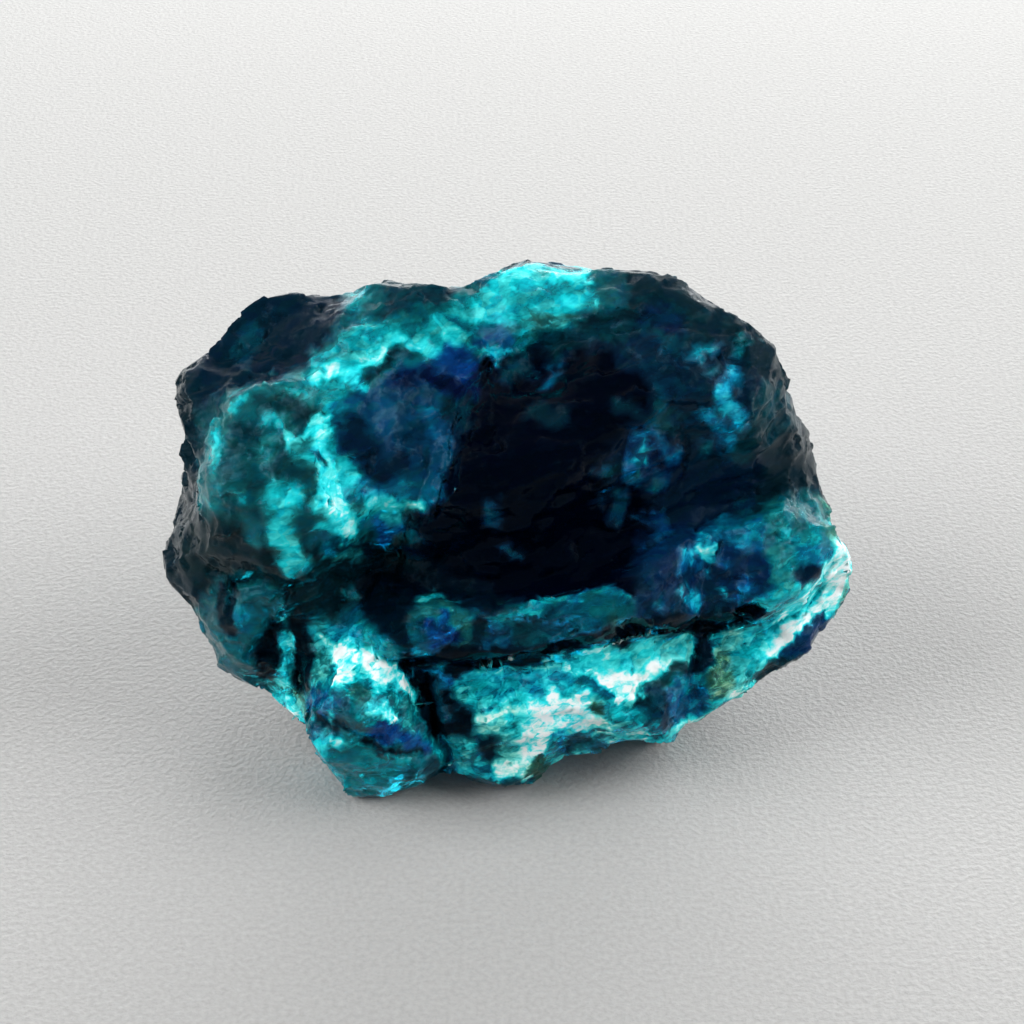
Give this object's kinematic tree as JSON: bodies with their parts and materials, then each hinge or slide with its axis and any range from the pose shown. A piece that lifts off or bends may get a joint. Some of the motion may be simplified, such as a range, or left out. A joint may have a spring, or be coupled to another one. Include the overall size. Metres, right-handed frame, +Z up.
{
  "type": "rough aquamarine",
  "caption": "Craggy piece of rough aquamarine: blocky and faceted, with a ledge across its face and low feet it stands on.",
  "frame": {"origin": "middle of the stone's bounding box in X and Y, at the level of its feet", "axes": "+Z up as it stands, +X to the right along its width; its face, with the ledge, looks towards -Y"},
  "size_m": [0.0478, 0.0362, 0.0308],
  "materials": {
    "aquamarine": "see-through in its thin edges, nearly black where thick, glossy broken faces"
  },
  "bodies": {
    "root": {"aquamarine_stone": "aquamarine"}
  },
  "joints": []
}
